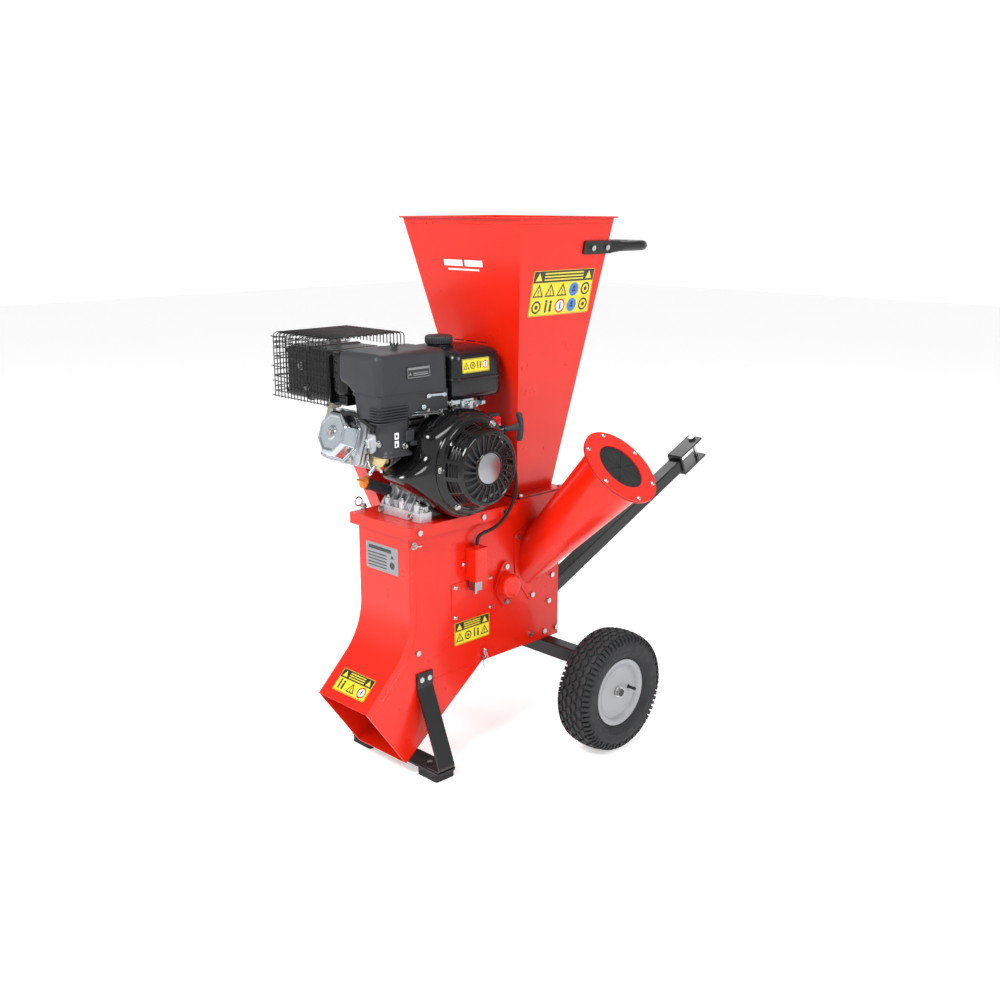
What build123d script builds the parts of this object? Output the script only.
"""Petrol wood chipper: housing, rotor, hopper, branch chute, belt drive, engine, wheels, tow bar.

Units are millimetres. +X is the side with the branch chute, +Y the end with the wheels and the
tow bar, +Z up. The origin is on the ground under the rotor shaft, on the machine's mid plane.
"""
from build123d import *
import math
import os

os.makedirs("parts", exist_ok=True)

# ---------------------------------------------------------------- driving dimensions
SHEET = 3.0                     # housing sheet steel
THIN = 2.0                      # hopper, covers and cowls
HALF = 93.0                     # half width of the housing, to its outer faces
FRONT, BACK = -313.0, 206.0     # housing front and back faces
BOTTOM, TOP = 236.0, 632.0      # underside of the housing, underside of the engine plate
PLATE_Z = TOP + SHEET           # top face of the engine plate
ROTOR_Z = 425.0                 # rotor shaft above the ground
CRANK = (-157.0, 768.0)         # engine crankshaft, y and z

MOUTH_TOP = (-452.0, 204.0)     # lips of the discharge mouth, y and z
MOUTH_LOW = (-335.0, 40.0)
KNEE = (-77.0, BOTTOM)          # where the chute floor meets the housing bottom
NOSE_RADIUS = 186.0             # bend of the front sheet above the chute

HOPPER_BASE = (61.0, 78.0, 209.0, 641.0)      # half width, y front, y back, z
HOPPER_RIM = (207.0, -59.0, 269.0, 1333.0)
RIM_LIP = 7.0
FLANGE_Y = (59.0, 226.0)        # hopper flange, front and back edges

CHUTE_ROOT = Vector(HALF, 104, 472)
CHUTE_TURN, CHUTE_RISE = 9.0, 46.7            # degrees round Z from +X, and above level
CHUTE_LENGTH = 380.0
CHUTE_ROOT_R, CHUTE_MOUTH_R, CHUTE_RING_R, CHUTE_HOLE_R = 54.0, 87.0, 108.0, 64.0

SHAFT_R = 12.5
RUNNING = 0.05                  # radial clearance of a running fit
DISC_R = 160.0
DRUM_R, PULLEY_R = 50.0, 70.0   # pitch radii of clutch drum and rotor pulley
BELT_X = (-138.0, -156.0)
GUARD_R, GUARD_X = 106.0, (-190.0, -117.0)

AXLE_Y, AXLE_Z = 160.0, 157.0   # wheel axle
TYRE_R, TYRE_W, RIM_R = 157.0, 102.0, 87.0
WHEEL_X = 318.0                 # middle plane of a wheel
STUB_R = 10.0

TOW_ANGLE = 24.5
TOW_START = (BACK + 6, 304.0)   # centre of the tow bar at its root plate, y and z
TOW_LENGTH = 686.0
TUBE, TUBE_WALL = 40.0, 3.0

CYL_ANGLE = 18.0                # cylinder above level
CYL_X = -45.0                   # middle plane of the cylinder

BOLT_AF, BOLT_HEAD, BOLT_R = 13.0, 5.5, 4.0   # M8
SCREW_R, SCREW_HEAD = 3.0, 3.5                # M6 domed screws

TOWARD_END = (Align.CENTER, Align.CENTER, Align.MIN)


# ---------------------------------------------------------------- shared shapes
def block(x, y, z, mode=Mode.ADD):
    """Box between two limits along each axis, in the active part."""
    with Locations(((x[0] + x[1]) / 2, (y[0] + y[1]) / 2, (z[0] + z[1]) / 2)):
        Box(x[1] - x[0], y[1] - y[0], z[1] - z[0], mode=mode)


def rod(start, end, radius, mode=Mode.ADD):
    """Round bar from one point to another, in the active part."""
    along = Vector(end) - Vector(start)
    with Locations(Plane(origin=start, z_dir=along).location):
        Cylinder(radius, along.length, align=TOWARD_END, mode=mode)


def ring(start, end, outer, inner):
    """Round tube from one point to another, in the active part."""
    rod(start, end, outer)
    rod(start, end, inner, Mode.SUBTRACT)


def hex_bolt(point, out, grip, af=BOLT_AF, head=BOLT_HEAD, radius=BOLT_R):
    """Hex bolt whose head rests at point and whose shank runs back by grip."""
    out = Vector(out).normalized()
    seat = Vector(point)
    with BuildSketch(Plane(origin=seat, z_dir=out)) as hexagon:
        RegularPolygon(af / 2, 6, major_radius=False)
    extrude(hexagon.sketch, amount=head)
    rod(seat - out * grip, seat + out * 0.5, radius)


def screw(point, out, grip, radius=SCREW_R, head=SCREW_HEAD):
    """Domed screw whose head rests at point and whose shank runs back by grip."""
    out = Vector(out).normalized()
    seat = Vector(point)
    with Locations(Plane(origin=seat, z_dir=out).location):
        Cone(radius * 2, radius * 1.3, head, align=TOWARD_END)
    rod(seat - out * grip, seat + out * 0.5, radius)


def on_side(x, points):
    """Points in space from (y, z) pairs on the plane at x."""
    return [(x, y, z) for y, z in points]


def along_tow(distance, side=0.0, x=0.0):
    """Point on the tow bar, by distance from its root and offset across it."""
    a = math.radians(TOW_ANGLE)
    y = TOW_START[0] + distance * math.cos(a) - side * math.sin(a)
    z = TOW_START[1] + distance * math.sin(a) + side * math.cos(a)
    return Vector(x, y, z)


def along_cylinder(distance, side=0.0, x=CYL_X):
    """Point on the engine's cylinder axis, by distance from the crankshaft."""
    a = math.radians(CYL_ANGLE)
    y = CRANK[0] - distance * math.cos(a) - side * math.sin(a)
    z = CRANK[1] + distance * math.sin(a) - side * math.cos(a)
    return Vector(x, y, z)


RIGHT, LEFT = Vector(1, 0, 0), Vector(-1, 0, 0)
UP = Vector(0, 0, 1)
AHEAD, ASTERN = Vector(0, -1, 0), Vector(0, 1, 0)

turn, rise = math.radians(CHUTE_TURN), math.radians(CHUTE_RISE)
CHUTE_DIR = Vector(math.cos(rise) * math.cos(turn), math.cos(rise) * math.sin(turn), math.sin(rise))
TOW_DIR = (along_tow(1) - along_tow(0)).normalized()
TOW_ACROSS = (along_tow(0, 1) - along_tow(0)).normalized()
CYL_DIR = (along_cylinder(1) - along_cylinder(0)).normalized()

# ---------------------------------------------------------------- hole positions, (y, z)
SIDE_BOLTS = [(-292, 315), (99, 262), (151, 257), (198, 257), (167, 339)]
LIP_BOLTS = [(-299, 622), (-93, 622), (-20, 622)]
COVER_SCREWS = [(-168, 452), (-48, 452), (-48, 375), (-168, 374)]
BEARING_BOLTS = [(0, ROTOR_Z + 47), (0, ROTOR_Z - 47)]
ROOT_BOLTS = [(49, 538), (101, 372), (176, 560), (176, 410)]
LEG_BOLTS = [(-287, 247), (-263, 247)]
HOPPER_BOLTS = [(sx * 85.5, y) for sx in (1, -1) for y in (68, 217)]
ENGINE_BOLTS = [(sx * 50.8, -170 + sy * 81) for sx in (1, -1) for sy in (1, -1)]
TRAY_X, TRAY_Y, TRAY_LIP = 115.0, (-325.0, 30.0), 27.5

# ================================================================ housing
# Front sheet: vertical under the engine plate, then bent out over the discharge mouth.
with BuildPart() as front_sheet:
    with BuildSketch(Plane.YZ):
        with BuildLine() as nose:
            FilletPolyline((FRONT, TOP), (FRONT, MOUTH_TOP[1] + FRONT - MOUTH_TOP[0]), MOUTH_TOP,
                           radius=NOSE_RADIUS)
        trace(nose.line, line_width=THIN)
    extrude(amount=HALF, both=True)
front_sheet.part.label = "front_sheet"


def housing_profile():
    """Side view of the housing above the chute seam, in the active sketch."""
    corner = MOUTH_TOP[1] + FRONT - MOUTH_TOP[0]
    with BuildLine() as line:
        FilletPolyline((FRONT, TOP), (FRONT, corner), (FRONT + BOTTOM - corner, BOTTOM),
                       radius=NOSE_RADIUS)
        Polyline((FRONT + BOTTOM - corner, BOTTOM), (BACK, BOTTOM), (BACK, TOP), (FRONT, TOP))
    return line.line


def side_sheet(x, holes):
    """Housing side sheet with its outer face at x, drilled for the shaft and its bolts."""
    outward = 1 if x > 0 else -1
    with BuildSketch(Plane.YZ.offset(x)) as outline:
        make_face(housing_profile())
    extrude(outline.sketch, amount=-SHEET * outward)
    add(front_sheet.part, mode=Mode.SUBTRACT)
    for y, z, radius in holes:
        rod((x - 5 * outward, y, z), (x + outward, y, z), radius, Mode.SUBTRACT)


PIN_Y, PIN_Z = KNEE[0] - 2, BOTTOM + 12
common_holes = [(0, ROTOR_Z, 20), (PIN_Y, PIN_Z, 4.1)]
common_holes += [(y, z, BOLT_R) for y, z in SIDE_BOLTS + BEARING_BOLTS + LEG_BOLTS]
right_holes = common_holes + [(y, z, BOLT_R) for y, z in ROOT_BOLTS]
right_holes += [(y, z, SCREW_R) for y, z in COVER_SCREWS + [(-139, 506)]]

with BuildPart() as side_plate_right:
    side_sheet(HALF, right_holes)
    rod(CHUTE_ROOT - CHUTE_DIR * 80, CHUTE_ROOT + CHUTE_DIR * 80, CHUTE_ROOT_R - THIN, Mode.SUBTRACT)
    block((HALF - 5, HALF + 1), (-158, -58), (385, 442), Mode.SUBTRACT)
side_plate_right.part.label = "side_plate_right"

with BuildPart() as side_plate_left:
    side_sheet(-HALF, common_holes)
side_plate_left.part.label = "side_plate_left"

# Back and bottom are one folded sheet between the side plates.
INNER = HALF - SHEET
with BuildPart() as back_sheet:
    block((-INNER, INNER), (BACK - SHEET, BACK), (BOTTOM, TOP))
    block((-INNER, INNER), (KNEE[0] + 12, BACK), (BOTTOM, BOTTOM + SHEET))
    for x in (-30, 30):
        for z in (TOW_START[1] - 38, TOW_START[1] + 38):
            rod((x, BACK - 5, z), (x, BACK + 1, z), BOLT_R, Mode.SUBTRACT)
back_sheet.part.label = "back_sheet"

# Engine plate: a tray whose front and side lips fold down, narrower under the hopper.
with BuildPart() as engine_plate:
    block((-TRAY_X, TRAY_X), TRAY_Y, (TOP, PLATE_Z))
    block((-HALF, HALF), (TRAY_Y[1], FLANGE_Y[1]), (TOP, PLATE_Z))
    block((-TRAY_X, TRAY_X), (TRAY_Y[0], TRAY_Y[0] + SHEET), (PLATE_Z - TRAY_LIP, PLATE_Z))
    for x in ((-TRAY_X, -TRAY_X + SHEET), (TRAY_X - SHEET, TRAY_X)):
        block(x, TRAY_Y, (PLATE_Z - TRAY_LIP, PLATE_Z))
    fillet(engine_plate.edges().filter_by(Axis.Z).group_by(Axis.Y)[0].group_by(Axis.X)[0], 2)
    fillet(engine_plate.edges().filter_by(Axis.Z).group_by(Axis.Y)[0].group_by(Axis.X)[-1], 2)
    block((-56, 56), (83, 200), (TOP - 1, PLATE_Z + 1), Mode.SUBTRACT)
    for x, y in ENGINE_BOLTS:
        rod((x, y, TOP - 1), (x, y, PLATE_Z + 1), 5, Mode.SUBTRACT)
    for x, y in HOPPER_BOLTS:
        rod((x, y, TOP - 1), (x, y, PLATE_Z + 1), BOLT_R, Mode.SUBTRACT)
    for side in (1, -1):
        for x, y, z in on_side(side * TRAY_X, LIP_BOLTS):
            rod((x - 5 * side, y, z), (x + side, y, z), BOLT_R, Mode.SUBTRACT)
engine_plate.part.label = "engine_plate"

# Discharge chute: two flanks and a floor under the front sheet, open at the mouth.
floor_dir = (Vector(MOUTH_LOW) - Vector(KNEE)).normalized()
floor_in = Vector(floor_dir.Y, -floor_dir.X)
inner_knee = Vector(KNEE) + floor_in * SHEET - floor_dir * 30
inner_lip = Vector(MOUTH_LOW) + floor_in * SHEET + floor_dir * 30
seam_y = FRONT + BOTTOM - (MOUTH_TOP[1] + FRONT - MOUTH_TOP[0])
with BuildPart() as discharge_chute:
    with BuildSketch(Plane.YZ):
        with BuildLine():
            Polyline((seam_y, BOTTOM), KNEE, MOUTH_LOW, MOUTH_TOP, close=True)
        make_face()
    extrude(amount=HALF, both=True)
    with BuildSketch(Plane.YZ):
        with BuildLine():
            Polyline(inner_knee, inner_lip, (-560, 120), (-560, 300), (inner_knee.X, 300), close=True)
        make_face()
    extrude(amount=INNER, both=True, mode=Mode.SUBTRACT)
    add(front_sheet.part, mode=Mode.SUBTRACT)
discharge_chute.part.label = "discharge_chute"

# Screen: a perforated arc in front of the rotor, held at its foot by a pin.
SCREEN_R = DISC_R + 9
with BuildPart() as discharge_screen:
    with BuildSketch(Plane.YZ.offset(-INNER + 2)):
        with BuildLine():
            inner_arc = CenterArc((0, ROTOR_Z), SCREEN_R - 1.5, 150, 85)
            outer_arc = CenterArc((0, ROTOR_Z), SCREEN_R + 1.5, 150, 85)
            Line(inner_arc @ 0, outer_arc @ 0)
            Line(inner_arc @ 1, outer_arc @ 1)
        make_face()
    extrude(amount=2 * INNER - 4)
    for angle in range(160, 231, 14):
        out = Vector(0, math.cos(math.radians(angle)), math.sin(math.radians(angle)))
        for x in range(-66, 67, 33):
            middle = Vector(x, 0, ROTOR_Z)
            rod(middle + out * (SCREEN_R - 8), middle + out * (SCREEN_R + 8), 9, Mode.SUBTRACT)
    foot = math.radians(233)
    for x in (-60, 60):         # tabs from the arc's foot to the pin, each with an eye
        with BuildSketch(Plane.YZ.offset(x - 8)) as tab:
            with Locations((PIN_Y, PIN_Z)):
                Circle(8)
            with Locations((SCREEN_R * math.cos(foot), ROTOR_Z + SCREEN_R * math.sin(foot))):
                Circle(2.5)
            make_hull()
        extrude(tab.sketch, amount=16)
        rod((x - 9, PIN_Y, PIN_Z), (x + 9, PIN_Y, PIN_Z), 4.2, Mode.SUBTRACT)
discharge_screen.part.label = "discharge_screen"

# The screen's pin runs right through both flanks, with a flat head on its left end.
with BuildPart() as screen_pin:
    rod((-HALF - 4, PIN_Y, PIN_Z), (HALF + 12, PIN_Y, PIN_Z), 4)
    rod((-HALF - 7, PIN_Y, PIN_Z), (-HALF, PIN_Y, PIN_Z), 8)
screen_pin.part.label = "screen_pin"

with BuildPart() as inspection_cover:
    block((HALF, HALF + THIN), (-181, -40), (365, 461.5))
    fillet(inspection_cover.edges().filter_by(Axis.X), 6)
    for x, y, z in on_side(HALF, COVER_SCREWS):
        rod((x - 1, y, z), (x + 3, y, z), SCREW_R, Mode.SUBTRACT)
inspection_cover.part.label = "inspection_cover"

# ================================================================ hopper
def hopper_loft(shrink, mode=Mode.ADD):
    """Four-sided funnel between base and rim, smaller all round by shrink."""
    faces = []
    for half, front, back, z in (HOPPER_BASE, HOPPER_RIM):
        with BuildSketch(Plane.XY.offset(z)) as section:
            with Locations((0, (front + back) / 2)):
                Rectangle(2 * (half - shrink), back - front - 2 * shrink)
        faces.append(section.sketch)
    loft(faces, mode=mode)


def hopper_wall_x(z):
    """Outer face of the hopper's side wall at height z."""
    share = (z - HOPPER_BASE[3]) / (HOPPER_RIM[3] - HOPPER_BASE[3])
    return HOPPER_BASE[0] + share * (HOPPER_RIM[0] - HOPPER_BASE[0])


GASKET = 3.0
HANDLE_Z = 1262.0
HANDLE_BOLTS = (202.0, 254.0)
lean = math.atan2(HOPPER_RIM[0] - HOPPER_BASE[0], HOPPER_RIM[3] - HOPPER_BASE[3])


def wall_plane(side, y, z=HANDLE_Z):
    """Plane lying on the hopper's side wall, facing out, with its x axis along +Y."""
    normal = (side * math.cos(lean), 0, -math.sin(lean))
    return Plane(origin=(side * hopper_wall_x(z), y, z), x_dir=(0, 1, 0), z_dir=normal)


with BuildPart() as hopper:
    hopper_loft(0)
    half, front, back, z = HOPPER_RIM
    block((-half - RIM_LIP, half + RIM_LIP), (front - RIM_LIP, back + RIM_LIP), (z, z + THIN))
    block((-HALF, HALF), FLANGE_Y, (PLATE_Z + GASKET, HOPPER_BASE[3]))
    hopper_loft(THIN, Mode.SUBTRACT)
    block((THIN - half, half - THIN), (front + THIN, back - THIN), (z - 1, z + 3), Mode.SUBTRACT)
    block((-56, 56), (83, 200), (PLATE_Z, HOPPER_BASE[3] + 1), Mode.SUBTRACT)
    for x, y in HOPPER_BOLTS:
        rod((x, y, PLATE_Z), (x, y, PLATE_Z + 10), BOLT_R, Mode.SUBTRACT)
    for side in (1, -1):
        for y in HANDLE_BOLTS:
            seat = wall_plane(side, y)
            rod(seat.origin - seat.z_dir * 5, seat.origin + seat.z_dir, BOLT_R, Mode.SUBTRACT)
hopper.part.label = "hopper"

with BuildPart() as hopper_gasket:
    block((-HALF, HALF), FLANGE_Y, (PLATE_Z, PLATE_Z + GASKET))
    block((-56, 56), (83, 200), (PLATE_Z - 1, PLATE_Z + GASKET + 1), Mode.SUBTRACT)
    for x, y in HOPPER_BOLTS:
        rod((x, y, PLATE_Z - 1), (x, y, PLATE_Z + 4), BOLT_R, Mode.SUBTRACT)
hopper_gasket.part.label = "hopper_gasket"

# Handle: a tube bent round the back of the hopper, its ends pressed flat and bolted on.
HANDLE_R, HANDLE_FLAT, HANDLE_Y = 12.5, 5.0, 415.0
HANDLE_X = hopper_wall_x(HANDLE_Z) + 6
with BuildPart() as handle:
    with BuildLine():
        FilletPolyline((HANDLE_X, 305, HANDLE_Z), (HANDLE_X, HANDLE_Y, HANDLE_Z),
                       (-HANDLE_X, HANDLE_Y, HANDLE_Z), (-HANDLE_X, 305, HANDLE_Z), radius=35)
    with BuildSketch(Plane(origin=(HANDLE_X, 305, HANDLE_Z), z_dir=(0, 1, 0))):
        Circle(HANDLE_R)
    sweep()
    for side in (1, -1):
        flat = wall_plane(side, 0)
        with BuildSketch(flat) as tab:
            with Locations((224, 0)):
                RectangleRounded(104, 32, 4)
        extrude(tab.sketch, amount=HANDLE_FLAT)
        middle = flat.origin + flat.z_dir * (HANDLE_FLAT / 2)
        tilt = math.degrees(lean) * side
        with BuildSketch(Plane(origin=(middle.X, 270, HANDLE_Z), x_dir=(1, 0, 0), z_dir=(0, -1, 0))) as wide:
            Rectangle(HANDLE_FLAT, 32, rotation=-tilt)
        with BuildSketch(Plane(origin=(side * HANDLE_X, 305, HANDLE_Z), x_dir=(1, 0, 0),
                               z_dir=(0, -1, 0))) as end:
            Circle(HANDLE_R)
        loft([wide.sketch, end.sketch])
        for y in HANDLE_BOLTS:
            seat = wall_plane(side, y)
            rod(seat.origin - seat.z_dir, seat.origin + seat.z_dir * 9, BOLT_R, Mode.SUBTRACT)
handle.part.label = "handle"

# ================================================================ branch chute
FLANGE_T, CURTAIN_T, RING_T = 3.0, 2.5, 3.0
RING_SCREW_R = 97.0
ROOT_T = 3.0


def chute_plane(distance):
    """Plane square to the chute's axis, by distance from its root."""
    return Plane(origin=CHUTE_ROOT + CHUTE_DIR * distance, x_dir=(0, 1, 0), z_dir=CHUTE_DIR)


def chute_cone(shrink, mode=Mode.ADD):
    """Tapered tube body from inside the housing to the mouth, smaller by shrink."""
    ends = []
    for distance in (-90, CHUTE_LENGTH - CURTAIN_T - RING_T):
        radius = CHUTE_ROOT_R + (CHUTE_MOUTH_R - CHUTE_ROOT_R) * distance / CHUTE_LENGTH
        with BuildSketch(chute_plane(distance)) as section:
            Circle(radius - shrink)
        ends.append(section.sketch)
    loft(ends, mode=mode)


def ring_screw_points(distance):
    """Six points on the screw circle of the chute's mouth."""
    plane = chute_plane(distance)
    angles = [math.radians(20 + 60 * n) for n in range(6)]
    return [plane.from_local_coords((RING_SCREW_R * math.cos(a), RING_SCREW_R * math.sin(a), 0))
            for a in angles]


def chute_disc(distance, thickness, radius):
    """Flat disc across the chute's mouth, drilled for the ring's screws."""
    with BuildSketch(chute_plane(distance)) as disc:
        Circle(radius)
    extrude(disc.sketch, amount=thickness)
    for point in ring_screw_points(distance):
        rod(point - CHUTE_DIR, point + CHUTE_DIR * (thickness + 1), SCREW_R, Mode.SUBTRACT)


with BuildPart() as branch_chute:
    chute_cone(0)
    split(bisect_by=Plane.YZ.offset(HALF), keep=Keep.TOP)
    with BuildSketch(Plane.YZ.offset(HALF)) as root_plate:
        with Locations((104, 472)):
            Ellipse(66, 92)
        with Locations(*ROOT_BOLTS):
            Circle(14)
        make_hull()
    extrude(root_plate.sketch, amount=ROOT_T)
    chute_disc(CHUTE_LENGTH - CURTAIN_T - RING_T - FLANGE_T, FLANGE_T, CHUTE_RING_R - 1.5)
    chute_cone(THIN, Mode.SUBTRACT)
    for x, y, z in on_side(HALF, ROOT_BOLTS):
        rod((x - 1, y, z), (x + 5, y, z), BOLT_R, Mode.SUBTRACT)
branch_chute.part.label = "branch_chute"

with BuildPart() as chute_curtain:
    chute_disc(CHUTE_LENGTH - CURTAIN_T - RING_T, CURTAIN_T, CHUTE_RING_R - 0.8)
    with BuildSketch(chute_plane(CHUTE_LENGTH - 10)) as slits:
        for angle in (0, 45, 90, 135):
            Rectangle(2 * CHUTE_HOLE_R - 10, 1, rotation=angle)
    extrude(slits.sketch, amount=12, mode=Mode.SUBTRACT)
chute_curtain.part.label = "chute_curtain"

with BuildPart() as chute_ring:
    chute_disc(CHUTE_LENGTH - RING_T, RING_T, CHUTE_RING_R)
    with BuildSketch(chute_plane(CHUTE_LENGTH - 10)) as hole:
        Circle(CHUTE_HOLE_R)
    extrude(hole.sketch, amount=20, mode=Mode.SUBTRACT)
chute_ring.part.label = "chute_ring"

# ================================================================ legs, axle and tow bar
BAR = 5.0
FOOT_X, FOOT_Y, FOOT_H = (93.0, 165.0), (-300.0, -240.0), 20.0
with BuildPart() as legs:
    for side in (1, -1):
        with BuildSketch(Plane.XZ.offset(248)) as strip:
            with BuildLine() as bends:
                FilletPolyline((side * (HALF + BAR / 2), 262), (side * (HALF + BAR / 2), 223),
                               (side * 175, FOOT_H + 1.5 * BAR), (side * 128, FOOT_H + 1.5 * BAR),
                               radius=8)
            trace(bends.line, line_width=BAR)
        extrude(strip.sketch, amount=50)
        for y, z in LEG_BOLTS:
            rod((side * 90, y, z), (side * 100, y, z), BOLT_R, Mode.SUBTRACT)
        rod((side * 145, -273, 20), (side * 145, -273, 40), BOLT_R, Mode.SUBTRACT)
legs.part.label = "legs"

with BuildPart() as crossbar:
    block((-172, 172), FOOT_Y, (FOOT_H, FOOT_H + BAR))
    fillet(crossbar.edges().filter_by(Axis.Z), 8)
    for side in (1, -1):
        for x in (110, 145):
            rod((side * x, -273, FOOT_H - 1), (side * x, -273, FOOT_H + 10), BOLT_R, Mode.SUBTRACT)
crossbar.part.label = "crossbar"

with BuildPart() as rubber_feet:
    for side in (1, -1):
        x = sorted((side * FOOT_X[0], side * FOOT_X[1]))
        block(x, FOOT_Y, (0, FOOT_H))
    fillet(rubber_feet.edges().filter_by(Axis.Z), 7)
    fillet(rubber_feet.faces().group_by(Axis.Z)[0].edges(), 2)
    for side in (1, -1):
        for x in (110, 145):
            rod((side * x, -273, FOOT_H - 12), (side * x, -273, FOOT_H + 1), BOLT_R, Mode.SUBTRACT)
rubber_feet.part.label = "rubber_feet"

BEAM_HALF, DROP_T, STUB_END = 235.0, 8.0, 359.0
HUB_X = (264.0, 347.0)          # ends of a wheel's hub tube
with BuildPart() as axle:
    block((-BEAM_HALF, BEAM_HALF), (AXLE_Y - TUBE / 2, AXLE_Y + TUBE / 2), (BOTTOM - TUBE, BOTTOM))
    fillet(axle.edges().filter_by(Axis.X), 4)
    inner = TUBE / 2 - TUBE_WALL
    middle_z = BOTTOM - TUBE / 2
    block((-BEAM_HALF, BEAM_HALF), (AXLE_Y - inner, AXLE_Y + inner), (middle_z - inner, middle_z + inner),
          Mode.SUBTRACT)
    for side in (1, -1):
        x = sorted((side * BEAM_HALF, side * (BEAM_HALF + DROP_T)))
        block(x, (AXLE_Y - 25, AXLE_Y + 25), (AXLE_Z - 25, BOTTOM))
        rod((side * (BEAM_HALF + DROP_T), AXLE_Y, AXLE_Z), (side * STUB_END, AXLE_Y, AXLE_Z), STUB_R)
        rod((side * (BEAM_HALF + DROP_T), AXLE_Y, AXLE_Z), (side * (HUB_X[0] - 0.3), AXLE_Y, AXLE_Z), 15)
axle.part.label = "axle"

ROOT_PLATE_T = 6.0
with BuildPart() as tow_bar:
    with BuildSketch(Plane(origin=along_tow(-20), x_dir=RIGHT, z_dir=TOW_DIR)) as square:
        RectangleRounded(TUBE, TUBE, 4)
        RectangleRounded(TUBE - 2 * TUBE_WALL, TUBE - 2 * TUBE_WALL, 2, mode=Mode.SUBTRACT)
    extrude(square.sketch, amount=TOW_LENGTH + 20)
    split(bisect_by=Plane.XZ.offset(-(BACK + ROOT_PLATE_T)), keep=Keep.BOTTOM)
    block((-45, 45), (BACK, BACK + ROOT_PLATE_T), (TOW_START[1] - 55, TOW_START[1] + 55))
    for x in (-30, 30):
        for z in (TOW_START[1] - 38, TOW_START[1] + 38):
            rod((x, BACK - 1, z), (x, BACK + 8, z), BOLT_R, Mode.SUBTRACT)
tow_bar.part.label = "tow_bar"

EAR, EAR_LENGTH, EAR_HALF, GAP_HALF = 6.0, 114.0, 25.0, 27.0
HITCH_PIN_AT = TOW_LENGTH + 98
with BuildPart() as hitch_bracket:
    with BuildSketch(Plane(origin=along_tow(TOW_LENGTH), x_dir=TOW_DIR, z_dir=RIGHT)) as clevis:
        with Locations((EAR_LENGTH / 2, 0)):
            Rectangle(EAR_LENGTH, 2 * (GAP_HALF + EAR))
        with Locations((EAR_LENGTH / 2 + EAR, 0)):
            Rectangle(EAR_LENGTH, 2 * GAP_HALF, mode=Mode.SUBTRACT)
    extrude(clevis.sketch, amount=EAR_HALF, both=True)
    fillet(hitch_bracket.edges().filter_by(Axis.X).sort_by_distance(along_tow(TOW_LENGTH, 33))[0], 5)
    fillet(hitch_bracket.edges().filter_by(Axis.X).sort_by_distance(along_tow(TOW_LENGTH, -33))[0], 5)
    rod(along_tow(HITCH_PIN_AT, -40), along_tow(HITCH_PIN_AT, 40), 6.5, Mode.SUBTRACT)
hitch_bracket.part.label = "hitch_bracket"

# ================================================================ wheels
BEAD_R = RIM_R - 9.6


def tyre():
    """Hollow pneumatic tyre with rounded shoulders, round the wheel axle."""
    low, high = WHEEL_X - TYRE_W / 2, WHEEL_X + TYRE_W / 2
    with BuildSketch(Plane.XZ) as section:
        with BuildLine():
            outer = FilletPolyline((low + 17, BEAD_R), (low + 17, RIM_R + 2), (low, RIM_R + 20),
                                   (low, TYRE_R - 22), (low + 15, TYRE_R), (high - 15, TYRE_R),
                                   (high, TYRE_R - 22), (high, RIM_R + 20), (high - 17, RIM_R + 2),
                                   (high - 17, BEAD_R), radius=9)
            inner = FilletPolyline((low + 30, BEAD_R), (low + 10, RIM_R + 23), (low + 10, TYRE_R - 25),
                                   (low + 19, TYRE_R - 11), (high - 19, TYRE_R - 11),
                                   (high - 10, TYRE_R - 25), (high - 10, RIM_R + 23),
                                   (high - 30, BEAD_R), radius=7)
            Line(outer @ 0, inner @ 0)
            Line(outer @ 1, inner @ 1)
        make_face()
    revolve(section.sketch, axis=Axis.X)


def rim():
    """Pressed steel rim with a dished disc and a hub tube, round the wheel axle."""
    seat, wall = RIM_R - 12.5, 2.5
    low, high = WHEEL_X - TYRE_W / 2 + 14, WHEEL_X + TYRE_W / 2 - 14
    with BuildSketch(Plane.XZ) as section:
        with BuildLine():
            Polyline((low, RIM_R), (low, seat), (WHEEL_X - 25, seat - 6), (WHEEL_X + 25, seat - 6),
                     (high, seat), (high, RIM_R), (high - wall, RIM_R), (high - wall, seat + wall),
                     (WHEEL_X + 25, seat - 6 + wall), (WHEEL_X - 25, seat - 6 + wall),
                     (low + wall, seat + wall), (low + wall, RIM_R), close=True)
        make_face()
        with BuildLine():
            Polyline((WHEEL_X + 25, seat - 5), (WHEEL_X + 34, seat - 3), (WHEEL_X + 28, 58),
                     (WHEEL_X + 31, 14), (WHEEL_X + 27.5, 14), (WHEEL_X + 24.5, 56), close=True)
        make_face()
        with Locations(((HUB_X[0] + HUB_X[1]) / 2, (STUB_R + RUNNING + 15) / 2)):
            Rectangle(HUB_X[1] - HUB_X[0], 15 - STUB_R - RUNNING)
    revolve(section.sketch, axis=Axis.X)
    rod((WHEEL_X + 10, 46, 0), (WHEEL_X + 40, 46, 0), 7, Mode.SUBTRACT)


def at_axle(side):
    """Where a wheel drawn round the X axis goes, on one side of the machine."""
    spin = 0 if side > 0 else 180
    return Location((0, AXLE_Y, AXLE_Z), (0, 0, spin))


with BuildPart(mode=Mode.PRIVATE) as tyre_shape:
    tyre()
with BuildPart(mode=Mode.PRIVATE) as rim_shape:
    rim()
with BuildPart() as tyre_right:
    add(tyre_shape.part.moved(at_axle(1)))
tyre_right.part.label = "tyre_right"
with BuildPart() as tyre_left:
    add(tyre_shape.part.moved(at_axle(-1)))
tyre_left.part.label = "tyre_left"
with BuildPart() as rim_right:
    add(rim_shape.part.moved(at_axle(1)))
rim_right.part.label = "rim_right"
with BuildPart() as rim_left:
    add(rim_shape.part.moved(at_axle(-1)))
rim_left.part.label = "rim_left"

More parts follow.
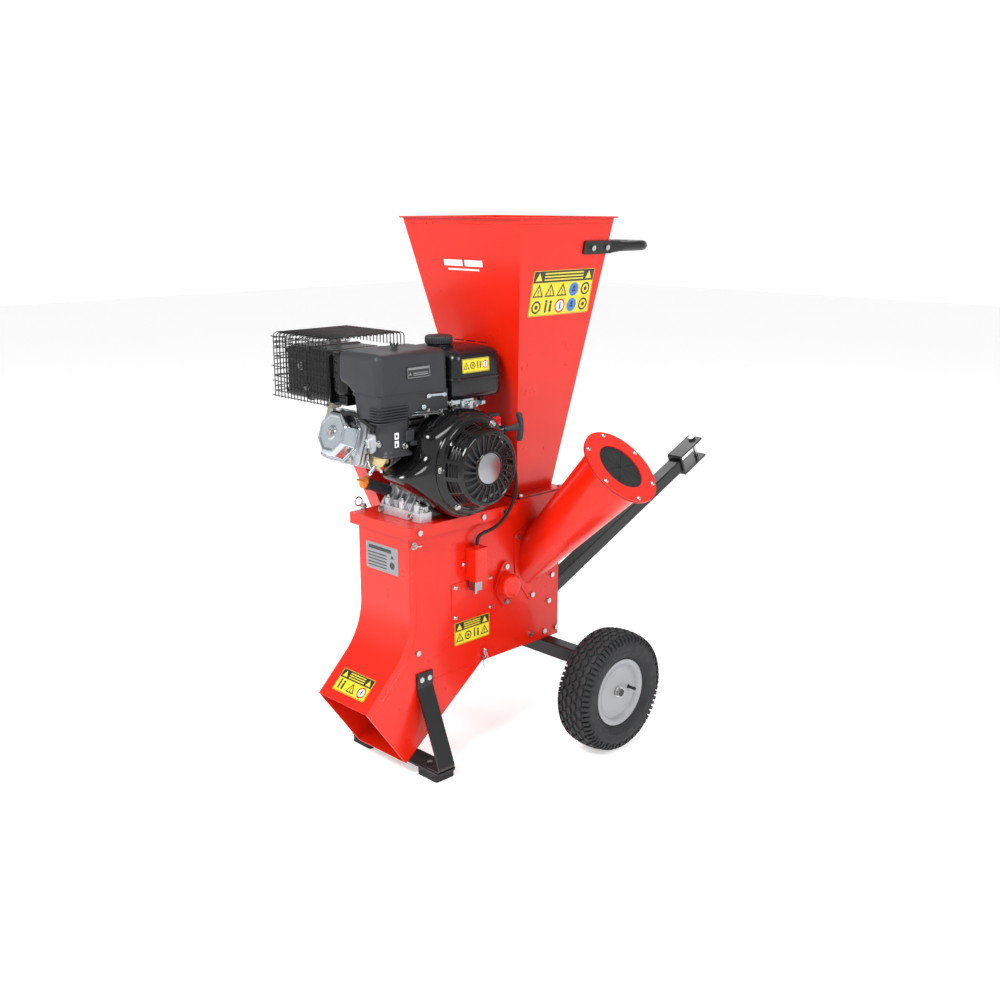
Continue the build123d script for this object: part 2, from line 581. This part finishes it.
# ================================================================ rotor and its bearings
BEARING_R, BEARING_X = 26.0, (HALF + 3, HALF + 18)
BOSS_END, FLANGE_END = HALF + 19, HALF + 9
with BuildPart() as bearing_flanges:
    for side in (1, -1):
        with BuildSketch(Plane.YZ.offset(side * HALF)) as oval:
            with Locations((0, ROTOR_Z)):
                Circle(37)
            with Locations(*BEARING_BOLTS):
                Circle(13)
            make_hull()
        extrude(oval.sketch, amount=side * (FLANGE_END - HALF))
        rod((side * HALF, 0, ROTOR_Z), (side * BOSS_END, 0, ROTOR_Z), 33)
    rod((-150, 0, ROTOR_Z), (150, 0, ROTOR_Z), BEARING_R, Mode.SUBTRACT)
    for y, z in BEARING_BOLTS:
        rod((-150, y, z), (150, y, z), BOLT_R, Mode.SUBTRACT)
bearing_flanges.part.label = "bearing_flanges"

with BuildPart() as rotor_bearings:
    for side in (1, -1):
        ring((side * BEARING_X[0], 0, ROTOR_Z), (side * BEARING_X[1], 0, ROTOR_Z), BEARING_R,
             SHAFT_R + RUNNING)
rotor_bearings.part.label = "rotor_bearings"

with BuildPart() as bearing_cap:
    rod((BOSS_END, 0, ROTOR_Z), (BOSS_END + 18, 0, ROTOR_Z), 30)
    fillet(bearing_cap.faces().sort_by(Axis.X)[-1].edges(), 9)
    rod((BOSS_END - 1, 0, ROTOR_Z), (BOSS_END + 12, 0, ROTOR_Z), 17, Mode.SUBTRACT)
bearing_cap.part.label = "bearing_cap"

SHAFT_X = (-168.0, HALF + 24)
with BuildPart() as rotor_shaft:
    rod((SHAFT_X[0], 0, ROTOR_Z), (SHAFT_X[1], 0, ROTOR_Z), SHAFT_R)
    chamfer(rotor_shaft.edges().filter_by(GeomType.CIRCLE), 1)
rotor_shaft.part.label = "rotor_shaft"

DISC_X, HUB_R, HUB_START = (40.0, 52.0), 32.0, -72.0
KNIFE_AT = 108.0                # middle of a chipping knife, from the shaft
with BuildPart() as rotor_disc:
    rod((DISC_X[0], 0, ROTOR_Z), (DISC_X[1], 0, ROTOR_Z), DISC_R)
    rod((HUB_START, 0, ROTOR_Z), (DISC_X[0] + 1, 0, ROTOR_Z), HUB_R)
    rod((HUB_START - 1, 0, ROTOR_Z), (DISC_X[1] + 1, 0, ROTOR_Z), SHAFT_R, Mode.SUBTRACT)
    for side in (1, -1):        # chip slots behind the knives
        y = sorted((side * (KNIFE_AT - 44), side * (KNIFE_AT + 44)))
        z = sorted((ROTOR_Z + side * 15, ROTOR_Z + side * 31))
        block((DISC_X[0] - 1, DISC_X[1] + 1), y, z, Mode.SUBTRACT)
rotor_disc.part.label = "rotor_disc"

with BuildPart() as chipper_knives:
    for side in (1, -1):
        with Locations((DISC_X[1] + 4, side * KNIFE_AT, ROTOR_Z - side * 10)):
            Box(8, 92, 46)
    for side in (1, -1):        # bevel ground on each cutting edge
        edge = chipper_knives.edges().filter_by(Axis.Y).group_by(Axis.X)[-1]
        chamfer(edge.sort_by_distance((DISC_X[1] + 8, side * KNIFE_AT, ROTOR_Z + side * 13))[0], 5)
chipper_knives.part.label = "chipper_knives"

with BuildPart() as shredder_blades:
    for n in range(4):
        out = math.radians(45 + 90 * n)
        reach = (HUB_R + DISC_R - 6) / 2
        middle = Vector(-18, reach * math.cos(out), ROTOR_Z + reach * math.sin(out))
        with Locations(Location(middle, (45 + 90 * n, 0, 0))):
            Box(96, DISC_R - 6 - HUB_R + 0.4, 8)
    rod((-70, 0, ROTOR_Z), (40, 0, ROTOR_Z), HUB_R, Mode.SUBTRACT)
shredder_blades.part.label = "shredder_blades"


# ================================================================ belt drive
SHEAVE_X = (BELT_X[1] - 10, BELT_X[0] + 10)
BELT_HALF, BELT_UNDER, BELT_OVER = 6.0, 5.0, 4.0


def sheave(y, z, pitch, bore):
    """Two-groove pulley round an axis along X at (y, z), in the active part."""
    rod((SHEAVE_X[0], y, z), (SHEAVE_X[1], y, z), pitch + 5)
    for x in BELT_X:
        near, far = x - BELT_HALF - 0.4, x + BELT_HALF + 0.4
        with BuildSketch(Plane(origin=(near, y, z), z_dir=RIGHT)) as groove:
            Circle(pitch + 6)
            Circle(pitch - BELT_UNDER - 1, mode=Mode.SUBTRACT)
        extrude(groove.sketch, amount=far - near, mode=Mode.SUBTRACT)
    rod((SHEAVE_X[0] - 1, y, z), (SHEAVE_X[1] + 20, y, z), bore, Mode.SUBTRACT)


def belt_loop(x, grow):
    """Sketch of the belt's path at x, its pulleys' pitch circles grown by grow."""
    with BuildSketch(Plane.YZ.offset(x)) as loop:
        with Locations((0, ROTOR_Z)):
            Circle(PULLEY_R + grow)
        with Locations(CRANK):
            Circle(DRUM_R + grow)
        make_hull()
    return loop.sketch


def guard_outline(x, radius):
    """Sketch of the belt guard's outline at x."""
    with BuildSketch(Plane.YZ.offset(x)) as outline:
        with Locations((0, ROTOR_Z), CRANK):
            Circle(radius)
        make_hull()
    return outline.sketch


with BuildPart() as rotor_pulley:
    sheave(0, ROTOR_Z, PULLEY_R, SHAFT_R)
rotor_pulley.part.label = "rotor_pulley"

CRANK_R = 12.7
with BuildPart() as clutch_drum:
    rod((SHEAVE_X[1], *CRANK), (SHEAVE_X[1] + 5, *CRANK), 62)
    sheave(*CRANK, DRUM_R, CRANK_R + RUNNING)
clutch_drum.part.label = "clutch_drum"

with BuildPart() as drive_belts:
    for x in BELT_X:
        extrude(belt_loop(x - BELT_HALF, BELT_OVER), amount=2 * BELT_HALF)
        extrude(belt_loop(x - BELT_HALF - 1, -BELT_UNDER), amount=2 * BELT_HALF + 2, mode=Mode.SUBTRACT)
drive_belts.part.label = "drive_belts"

GUARD_RIM = GUARD_R + 12
between = (Vector(0, *CRANK) - Vector(0, 0, ROTOR_Z)).normalized()
abeam = Vector(0, -between.Z, between.Y)
GUARD_SCREWS = [centre + abeam * (side * (GUARD_RIM - 5.4)) for side in (1, -1)
                for centre in (Vector(0, *CRANK), Vector(0, 0, ROTOR_Z))]
with BuildPart() as belt_guard:
    extrude(guard_outline(GUARD_X[0], GUARD_R), amount=GUARD_X[1] - GUARD_X[0])
    fillet(belt_guard.faces().sort_by(Axis.X)[0].edges(), 8)
    extrude(guard_outline(GUARD_X[1], GUARD_RIM), amount=-THIN)
    extrude(guard_outline(GUARD_X[0] + THIN, GUARD_R - THIN), amount=90, mode=Mode.SUBTRACT)
    for n in range(7):          # cooling slots over the clutch
        with BuildSketch(Plane.YZ.offset(GUARD_X[0] - 1)) as slot:
            with Locations((CRANK[0], CRANK[1] - 45 + 15 * n)):
                SlotOverall(90, 7)
        extrude(slot.sketch, amount=5, mode=Mode.SUBTRACT)
    for point in GUARD_SCREWS:
        rod(point + RIGHT * (GUARD_X[1] - 5), point + RIGHT * (GUARD_X[1] + 1), SCREW_R, Mode.SUBTRACT)
belt_guard.part.label = "belt_guard"

SPACERS = [(-62, 372), (62, 372)]
with BuildPart() as guard_back:
    extrude(guard_outline(GUARD_X[1], GUARD_RIM), amount=THIN)
    for y, z in SPACERS:
        rod((GUARD_X[1] + 1, y, z), (-HALF, y, z), 9)
    rod((-150, *CRANK), (-100, *CRANK), 34, Mode.SUBTRACT)
    rod((-150, 0, ROTOR_Z), (-100, 0, ROTOR_Z), 36, Mode.SUBTRACT)
    for point in GUARD_SCREWS:
        rod(point + RIGHT * (GUARD_X[1] - 1), point + RIGHT * (GUARD_X[1] + 5), SCREW_R, Mode.SUBTRACT)
    for x, y, z in on_side(-TRAY_X, LIP_BOLTS):
        rod((x - 5, y, z), (x + 1, y, z), BOLT_R, Mode.SUBTRACT)
guard_back.part.label = "guard_back"

# ================================================================ safety switch and its lead
BOX_X, BOX_Y, BOX_Z = (HALF, 131.0), (-132.0, -91.0), (465.0, 549.0)
with BuildPart() as switch_box:
    block(BOX_X, BOX_Y, BOX_Z)
    fillet(switch_box.edges().filter_by(Axis.Z).group_by(Axis.X)[-1], 3)
    block((BOX_X[0] - 1, BOX_X[1] - THIN), (BOX_Y[0] + THIN, BOX_Y[1] - THIN),
          (BOX_Z[0] - 1, BOX_Z[1] - THIN), Mode.SUBTRACT)
    block((HALF, HALF + THIN), (-147, BOX_Y[0] + 1), (494, 518))
    rod((HALF - 1, -139, 506), (HALF + 4, -139, 506), SCREW_R, Mode.SUBTRACT)
    rod((112, -111, BOX_Z[1] - 1), (112, -111, BOX_Z[1] + 5), 8)
switch_box.part.label = "switch_box"

with BuildPart() as limit_switch:
    block((100, 124), (-128, -104), (440, BOX_Z[0] + 8))
    fillet(limit_switch.edges().filter_by(Axis.Z), 2)
    rod((112, -116, 430), (112, -116, 441), 4)
limit_switch.part.label = "limit_switch"

# The lead leaves the engine cowl, bends down past the tray and enters the switch box.
LEAD_R = 4.2
LEAD_ROUTE = [(86, -20, 792), (86, 2, 792), (101, 17, 766), (117, 16, 729), (126, 12, 694),
              (129, 4, 658), (128, -14, 626), (125, -40, 600), (120, -68, 586), (115, -93, 582),
              (112, -111, 572), (112, -111, BOX_Z[1] + 5)]


def bend_radii(route):
    """As large an arc at each corner as its two runs leave room for."""
    radii = []
    for before, here, after in zip(route, route[1:], route[2:]):
        into, out = Vector(here) - Vector(before), Vector(after) - Vector(here)
        half_turn = math.radians(into.get_angle(out) / 2)
        radii.append(0.45 * min(into.length, out.length) / math.tan(half_turn))
    return radii


lead_radii = bend_radii(LEAD_ROUTE)
print("lead bend radii:", [round(radius) for radius in lead_radii])
with BuildPart() as switch_lead:
    with BuildLine() as lead_path:
        FilletPolyline(*LEAD_ROUTE, radius=lead_radii)
    with BuildSketch(Plane(origin=LEAD_ROUTE[0], z_dir=Vector(LEAD_ROUTE[1]) - Vector(LEAD_ROUTE[0]))):
        Circle(LEAD_R)
    sweep()
lead_length = sum(edge.length for edge in lead_path.edges())
print(f"lead length {lead_length:.1f}, volume check",
      round(switch_lead.part.volume / (math.pi * LEAD_R ** 2 * lead_length), 4))
switch_lead.part.label = "switch_lead"

# ================================================================ engine
CASE_R, BASE_T = 90.0, 23.0
FILLER_FOOT, FILLER_TOP = Vector(-38, -230, 676), Vector(-60, -314, 715)
FILLER_DIR = (FILLER_TOP - FILLER_FOOT).normalized()
with BuildPart() as crankcase:
    block((-62, 62), (-275, -65), (PLATE_Z, PLATE_Z + BASE_T))
    fillet(crankcase.edges().filter_by(Axis.Z), 10)
    block((40, 92), (-275, -240), (PLATE_Z, PLATE_Z + BASE_T))
    rod((-70, *CRANK), (58, *CRANK), CASE_R)
    block((-58, 52), (-240, -85), (PLATE_Z, CRANK[1] - 30))
    with BuildSketch(Plane(origin=along_cylinder(60, x=-18), x_dir=RIGHT, z_dir=CYL_DIR)) as deck:
        RectangleRounded(104, 118, 12)
    extrude(deck.sketch, amount=35)
    rod((-82, *CRANK), (-70, *CRANK), 56)
    rod(FILLER_FOOT, FILLER_TOP, 13)
    rod((-90, *CRANK), (70, *CRANK), CRANK_R + RUNNING, Mode.SUBTRACT)
    rod(FILLER_TOP - FILLER_DIR * 62, FILLER_TOP + FILLER_DIR, 7, Mode.SUBTRACT)
    for x, y in ENGINE_BOLTS:
        rod((x, y, PLATE_Z - 1), (x, y, PLATE_Z + 40), 5, Mode.SUBTRACT)
        rod((x, y, PLATE_Z + BASE_T), (x, y, PLATE_Z + BASE_T + 26), 12, Mode.SUBTRACT)
crankcase.part.label = "crankcase"

FIN_FROM, FIN_STEP, FIN_COUNT, HEAD_END = 98.0, 11.0, 13, 244.0
EXHAUST_X = CYL_X - 70
with BuildPart() as cylinder:
    with BuildSketch(Plane(origin=along_cylinder(95), x_dir=RIGHT, z_dir=CYL_DIR)) as core:
        RectangleRounded(98, 100, 14)
    extrude(core.sketch, amount=HEAD_END - 95)
    for n in range(FIN_COUNT):
        at = along_cylinder(FIN_FROM + FIN_STEP * n)
        with BuildSketch(Plane(origin=at, x_dir=RIGHT, z_dir=CYL_DIR)) as fin:
            RectangleRounded(128, 124, 10)
        extrude(fin.sketch, amount=4)
    rod(along_cylinder(225), along_cylinder(225, x=EXHAUST_X + 0.5), 19)
cylinder.part.label = "cylinder"

with BuildPart() as rocker_cover:
    with BuildSketch(Plane(origin=along_cylinder(HEAD_END), x_dir=RIGHT, z_dir=CYL_DIR)) as foot:
        RegularPolygon(57, 8, major_radius=False, rotation=22.5)
    extrude(foot.sketch, amount=6)
    with BuildSketch(Plane(origin=along_cylinder(HEAD_END + 6), x_dir=RIGHT, z_dir=CYL_DIR)) as dome:
        RegularPolygon(51, 8, major_radius=False, rotation=22.5)
    extrude(dome.sketch, amount=24, taper=14)
    with BuildSketch(Plane(origin=along_cylinder(HEAD_END + 30), x_dir=RIGHT, z_dir=CYL_DIR)) as nub:
        RegularPolygon(8, 6)
    extrude(nub.sketch, amount=6)
rocker_cover.part.label = "rocker_cover"

MUFFLER_X, MUFFLER_Y, MUFFLER_Z = (-300.0, -125.0), (-365.0, -195.0), (905.0, 1030.0)
with BuildPart() as muffler:
    block(MUFFLER_X, MUFFLER_Y, MUFFLER_Z)
    fillet(muffler.edges(), 12)
    block(*[(low + 4, high - 4) for low, high in (MUFFLER_X, MUFFLER_Y, MUFFLER_Z)], Mode.SUBTRACT)
    rod((MUFFLER_X[0] - 1, -230, 985), (MUFFLER_X[0] + 6, -230, 985), 13, Mode.SUBTRACT)
    block((MUFFLER_X[1] - 2, -64), (-362, -285), (905, 948))
    port = along_cylinder(225, x=EXHAUST_X)
    rod((EXHAUST_X - 18, port.Y + 12, 910), (EXHAUST_X - 18, port.Y, port.Z), 14)
    with Locations((EXHAUST_X - 18, port.Y, port.Z)):
        Sphere(14)
    rod((EXHAUST_X - 18, port.Y, port.Z), port, 14)
muffler.part.label = "muffler"

CAGE_X, CAGE_Y, CAGE_Z = (-322.0, -106.0), (-385.0, -145.0), (902.0, 1062.0)
with BuildPart() as muffler_guard:
    block(CAGE_X, CAGE_Y, CAGE_Z)
    block((CAGE_X[0] + THIN, CAGE_X[1] + 1), (CAGE_Y[0] + THIN, CAGE_Y[1] - THIN),
          (CAGE_Z[0] - 1, CAGE_Z[1] - THIN), Mode.SUBTRACT)
    mid = [(low + high) / 2 for low, high in (CAGE_X, CAGE_Y, CAGE_Z)]
    with BuildSketch(Plane(origin=(mid[0], CAGE_Y[0] - 1, mid[2]), z_dir=ASTERN)) as front_slots:
        with GridLocations(16, 50, 12, 3):
            Rectangle(10, 42)
    extrude(front_slots.sketch, amount=CAGE_Y[1] - CAGE_Y[0] + 2, mode=Mode.SUBTRACT)
    with BuildSketch(Plane(origin=(CAGE_X[0] - 1, mid[1], mid[2]), x_dir=ASTERN, z_dir=RIGHT)) as side_slots:
        with GridLocations(16, 50, 14, 3):
            Rectangle(10, 42)
    extrude(side_slots.sketch, amount=4, mode=Mode.SUBTRACT)
    with BuildSketch(Plane.XY.offset(CAGE_Z[1] - 4)) as top_slots:
        with Locations((mid[0], mid[1])):
            with GridLocations(16, 56, 12, 4):
                Rectangle(10, 48)
    extrude(top_slots.sketch, amount=6, mode=Mode.SUBTRACT)
    for y in (-310, -240):      # straps down to the muffler
        block((-214, -206), (y - 10, y + 10), (1030, CAGE_Z[1] - 1))
muffler_guard.part.label = "muffler_guard"

NECK_X, NECK_Y = (54.0, 92.0), (-371.0, -307.0)
CHOKE_PIVOT, CHOKE_R = (-262.0, 912.0), 2.5     # (y, z)
with BuildPart() as air_cleaner:
    with BuildSketch(Plane.XZ.offset(178)) as cover:
        with BuildLine():
            Polyline((-58, 1040), (-61, 966), (-27, 958), (-12, 925), (92, 925), (88, 1040), close=True)
        make_face()
    extrude(cover.sketch, amount=212)
    fillet(air_cleaner.edges().filter_by(Axis.X).group_by(Axis.Z)[-1], 16)
    fillet(air_cleaner.faces().sort_by(Axis.Z)[-1].edges().filter_by(Axis.Y), 14)
    with BuildSketch(Plane.XZ.offset(300)) as skirt:
        with BuildLine():
            Polyline((-13, 930), (8, 904), (84, 904), (92, 930), close=True)
        make_face()
    extrude(skirt.sketch, amount=75)
    block(NECK_X, NECK_Y, (812, 906))
    block((56, 62), (-272, -252), (903, 926))       # lug of the choke lever
    rod((50, *CHOKE_PIVOT), (66, *CHOKE_PIVOT), CHOKE_R + RUNNING, Mode.SUBTRACT)
air_cleaner.part.label = "air_cleaner"

CARB_X = (CYL_X + 64.4, NECK_X[0] - 0.2)
with BuildPart() as carburettor:
    block(CARB_X, (-368, -322), (800, 850))
    fillet(carburettor.edges().filter_by(Axis.X), 8)
    rod((42, -346, 779), (42, -346, 805), 22)
    with Locations(Location((42, -346, 779), (180, 0, 0))):
        Cone(22, 12, 9, align=TOWARD_END)
carburettor.part.label = "carburettor"

TANK_X, TANK_Y, SEAM_Z = (-98.0, 100.0), (-170.0, -5.0), 963.0
CAP_AT = (0.0, -128.0)
with BuildPart() as fuel_tank:
    block(TANK_X, TANK_Y, (912, 1030))
    fillet(fuel_tank.edges().filter_by(Axis.Z), 24)
    fillet(fuel_tank.faces().sort_by(Axis.Z)[-1].edges(), 18)
    fillet(fuel_tank.faces().sort_by(Axis.Z)[0].edges(), 10)
    with BuildSketch(Plane.XY.offset(SEAM_Z - 2)) as seam:
        with Locations(((TANK_X[0] + TANK_X[1]) / 2, (TANK_Y[0] + TANK_Y[1]) / 2)):
            RectangleRounded(TANK_X[1] - TANK_X[0] + 8, TANK_Y[1] - TANK_Y[0] + 8, 26)
    extrude(seam.sketch, amount=4)
    rod((*CAP_AT, 1025), (*CAP_AT, 1040), 24)
    rod((*CAP_AT, 935), (*CAP_AT, 1041), 20, Mode.SUBTRACT)
    for x, y in ((-60, -40), (50, -40), (-60, -145), (50, -145)):
        rod((x, y, 895), (x, y, 914), 9)
fuel_tank.part.label = "fuel_tank"

with BuildPart() as fuel_cap:
    rod((*CAP_AT, 1040.3), (*CAP_AT, 1063), 33)
    fillet(fuel_cap.faces().sort_by(Axis.Z)[-1].edges(), 5)
    rod((*CAP_AT, 1022), (*CAP_AT, 1041), 19.6)
    with Locations((*CAP_AT, 1050)):
        with PolarLocations(34.5, 20):
            Cylinder(2.5, 30, mode=Mode.SUBTRACT)
fuel_cap.part.label = "fuel_cap"

# Fan cowl: a shell that hangs over the flywheel and reaches forward along the cylinder.
COWL_X, COWL_R, COWL_T = (64.0, 110.0), 130.0, 2.5
SEAT_X, SEAT_R = 146.0, 117.0      # round seat of the recoil starter
COWL_NOSE = ((-300.0, 775.0), 26.0)


def cowl_outline(x, shrink):
    """Sketch of the fan cowl's outline at x, smaller all round by shrink."""
    with BuildSketch(Plane.YZ.offset(x)) as outline:
        with Locations(CRANK):
            Circle(COWL_R - shrink)
        with Locations(COWL_NOSE[0]):
            Circle(COWL_NOSE[1] - shrink)
        make_hull()
    return outline.sketch


GRIP_DIR = Vector(0.30, 0.95, 0.09).normalized()
GRIP_AT = Vector(146, -52, 838)     # mouth of the starter rope's guide
THROTTLE_PIVOT = (-118.0, 900.0)     # (y, z)
ROCKER_PIN_R = 2.0
with BuildPart() as cowl:
    extrude(cowl_outline(COWL_X[0], 0), amount=COWL_X[1] - COWL_X[0])
    fillet(cowl.faces().sort_by(Axis.X)[-1].edges(), 7)
    extrude(cowl_outline(COWL_X[0] - 1, COWL_T), amount=COWL_X[1] - COWL_X[0] + 1 - COWL_T,
            mode=Mode.SUBTRACT)
    swell = SEAT_X - COWL_X[1] + 4
    with Locations(Location((COWL_X[1] - 4, *CRANK), (0, 90, 0))):
        Cone(COWL_R - 1, SEAT_R, swell, align=TOWARD_END)
        Cone(COWL_R - 4, SEAT_R - 3, swell - COWL_T, align=TOWARD_END, mode=Mode.SUBTRACT)
    rod((COWL_X[1] - 5, *CRANK), (SEAT_X + 1, *CRANK), 92, Mode.SUBTRACT)
    rod((86, -34, 792), (86, -20, 792), 8)
    block((86, 110), (-62, -26), (834, 868))
    block((98, 122), (-56, -32), (837.5, 864.5), Mode.SUBTRACT)
    rod(GRIP_AT - GRIP_DIR * 62, GRIP_AT + GRIP_DIR * 8, 10.3, Mode.SUBTRACT)
    rod((106, -64, 851), (106, -24, 851), ROCKER_PIN_R + RUNNING, Mode.SUBTRACT)
    block((80, 83), (-190, -85), (870, 905))      # bracket of the speed control
    rod((82, *THROTTLE_PIVOT), (90, *THROTTLE_PIVOT), 3)
cowl.part.label = "cowl"

RECOIL_PROFILE = [(SEAT_X, 113), (153, 111), (157, 101), (190, 92), (199, 83)]
with BuildPart() as recoil_cover:
    x, z = CRANK[0], CRANK[1]
    with BuildSketch(Plane(origin=(0, *CRANK), x_dir=RIGHT, z_dir=AHEAD)) as shell:
        with BuildLine():
            Polyline((SEAT_X, 0), *RECOIL_PROFILE, (199, 0), close=True)
        make_face()
        with BuildLine():
            Polyline((SEAT_X - 1, 0), (SEAT_X - 1, 110), (151, 108), (155, 98), (188, 89),
                     (196, 80), (196, 0), close=True)
        make_face(mode=Mode.SUBTRACT)
    revolve(shell.sketch, axis=Axis((0, *CRANK), (1, 0, 0)))
    with BuildSketch(Plane(origin=(190, *CRANK), x_dir=ASTERN, z_dir=RIGHT)) as vents:
        with PolarLocations(56, 24):
            SlotOverall(40, 6, rotation=14)
    extrude(vents.sketch, amount=15, mode=Mode.SUBTRACT)
    rod(GRIP_AT - GRIP_DIR * 46, GRIP_AT, 10)
    rod(GRIP_AT - GRIP_DIR * 60, GRIP_AT + GRIP_DIR, 3.2, Mode.SUBTRACT)
recoil_cover.part.label = "recoil_cover"

with BuildPart() as pull_grip:
    rod(GRIP_AT - GRIP_DIR * 40, GRIP_AT + GRIP_DIR * 20, 2.8)
    rod(GRIP_AT + GRIP_DIR * 0.3, GRIP_AT + GRIP_DIR * 44, 6.5)
    with BuildSketch(Plane(origin=GRIP_AT + GRIP_DIR * 40, x_dir=(0.06, -0.36, 1), z_dir=GRIP_DIR)) as tee:
        SlotOverall(68, 18)
    extrude(tee.sketch, amount=16)
    fillet(pull_grip.faces().sort_by(Axis(GRIP_AT, GRIP_DIR))[-1].edges(), 4)
pull_grip.part.label = "pull_grip"

with BuildPart() as stop_switch:
    block((104, 118), (-55, -33), (839, 863))
    fillet(stop_switch.edges().filter_by(Axis.Y).group_by(Axis.X)[-1], 3)
    rod((106, -61, 851), (106, -27, 851), ROCKER_PIN_R)
stop_switch.part.label = "stop_switch"

FAN_R = 92.0
with BuildPart() as crankshaft:
    rod((-170, *CRANK), (62, *CRANK), CRANK_R)
    rod((62, *CRANK), (112, *CRANK), 9)
crankshaft.part.label = "crankshaft"

with BuildPart() as flywheel_fan:
    rod((66, *CRANK), (80, *CRANK), FAN_R)
    with BuildSketch(Plane(origin=(80, *CRANK), x_dir=ASTERN, z_dir=RIGHT)) as blades:
        with PolarLocations(74, 18):
            Rectangle(30, 4, rotation=25)
    extrude(blades.sketch, amount=20)
    rod((60, *CRANK), (120, *CRANK), 9, Mode.SUBTRACT)
flywheel_fan.part.label = "flywheel_fan"

with BuildPart() as dipstick:
    rod(FILLER_TOP + FILLER_DIR * 0.3, FILLER_TOP + FILLER_DIR * 12, 14)
    rod(FILLER_TOP - FILLER_DIR * 50, FILLER_TOP + FILLER_DIR * 4, 6.6)
    with BuildSketch(Plane(origin=FILLER_TOP + FILLER_DIR * 12, z_dir=FILLER_DIR)) as tab:
        SlotOverall(26, 6)
    extrude(tab.sketch, amount=12)
dipstick.part.label = "dipstick"

with BuildPart() as throttle_lever:
    with BuildSketch(Plane.YZ.offset(84)) as arm:
        with Locations(THROTTLE_PIVOT):
            Circle(6)
        with Locations((-74, 902)):
            Circle(4)
        make_hull()
    extrude(arm.sketch, amount=3)
    block((84, 98), (-77, -71), (899, 905))
    rod((80, *THROTTLE_PIVOT), (95, *THROTTLE_PIVOT), 3 + RUNNING, Mode.SUBTRACT)
throttle_lever.part.label = "throttle_lever"

with BuildPart() as choke_lever:
    with BuildSketch(Plane.YZ.offset(92.5)) as arm:
        with Locations(CHOKE_PIVOT):
            Circle(6)
        with Locations((-228, 917)):
            Circle(5)
        make_hull()
    extrude(arm.sketch, amount=3)
    rod((52, *CHOKE_PIVOT), (93, *CHOKE_PIVOT), CHOKE_R)
choke_lever.part.label = "choke_lever"

# ================================================================ fasteners
with BuildPart() as fasteners:
    for side in (1, -1):
        out = Vector(side, 0, 0)
        for point in on_side(side * HALF, SIDE_BOLTS):
            hex_bolt(point, out, 7)
        for point in on_side(side * FLANGE_END, BEARING_BOLTS):
            hex_bolt(point, out, 16)
        for point in on_side(side * (HALF + BAR), LEG_BOLTS):
            hex_bolt(point, out, 12)
        for y in HANDLE_BOLTS:
            seat = wall_plane(side, y)
            hex_bolt(seat.origin + seat.z_dir * HANDLE_FLAT, seat.z_dir, HANDLE_FLAT + 6)
        hex_bolt((side * 145, -273, FOOT_H + 2 * BAR), UP, 2 * BAR + 10)
        hex_bolt((side * 110, -273, FOOT_H + BAR), UP, BAR + 10)
        nut_face = Vector(side * (HUB_X[1] + 0.3), AXLE_Y, AXLE_Z)
        ring(nut_face, nut_face + out * 2, 14, STUB_R)
        with BuildSketch(Plane(origin=nut_face + out * 2, z_dir=out)) as nut:
            RegularPolygon(11, 6, major_radius=False)
            Circle(STUB_R, mode=Mode.SUBTRACT)
        extrude(nut.sketch, amount=9)
    for point in on_side(HALF + ROOT_T, ROOT_BOLTS):
        hex_bolt(point, RIGHT, 10)
    for point in on_side(TRAY_X, LIP_BOLTS):
        hex_bolt(point, RIGHT, 8)
    for x, y in HOPPER_BOLTS:
        hex_bolt((x, y, HOPPER_BASE[3]), UP, 12)
    for x, y in ENGINE_BOLTS:
        hex_bolt((x, y, PLATE_Z + BASE_T), UP, BASE_T + 8, af=16, head=7, radius=5)
    for x in (-30, 30):
        for z in (TOW_START[1] - 38, TOW_START[1] + 38):
            hex_bolt((x, BACK + ROOT_PLATE_T, z), ASTERN, ROOT_PLATE_T + 6)
    hex_bolt(along_tow(HITCH_PIN_AT, GAP_HALF + EAR), TOW_ACROSS, 78, af=19, head=8, radius=6)
    with BuildSketch(Plane(origin=along_tow(HITCH_PIN_AT, -GAP_HALF - EAR), z_dir=TOW_ACROSS * -1)) as nut:
        RegularPolygon(9.5, 6, major_radius=False)
    extrude(nut.sketch, amount=8)
fasteners.part.label = "fasteners"

with BuildPart() as screws:
    for point in on_side(HALF + THIN, COVER_SCREWS + [(-139, 506)]):
        screw(point, RIGHT, 6)
    for point in ring_screw_points(CHUTE_LENGTH):
        screw(point, CHUTE_DIR, CURTAIN_T + RING_T + FLANGE_T)
    for point in GUARD_SCREWS:
        screw(point + RIGHT * (GUARD_X[1] - THIN), LEFT, 4)
screws.part.label = "screws"

# ================================================================ files
PARTS = [front_sheet, side_plate_right, side_plate_left, back_sheet, engine_plate, discharge_chute,
         discharge_screen, screen_pin, inspection_cover, hopper, hopper_gasket, handle, branch_chute,
         chute_curtain, chute_ring, legs, crossbar, rubber_feet, axle, tow_bar, hitch_bracket,
         tyre_right, tyre_left, rim_right, rim_left, bearing_flanges, rotor_bearings, bearing_cap,
         rotor_shaft, rotor_disc, chipper_knives, shredder_blades, rotor_pulley, clutch_drum,
         drive_belts, belt_guard, guard_back, switch_box, limit_switch, switch_lead, crankcase,
         cylinder, rocker_cover, muffler, muffler_guard, air_cleaner, carburettor, fuel_tank,
         fuel_cap, cowl, recoil_cover, pull_grip, stop_switch, crankshaft, flywheel_fan, dipstick,
         throttle_lever, choke_lever, fasteners, screws]
for piece in PARTS:
    export_step(piece.part, f"parts/{piece.part.label}.step")
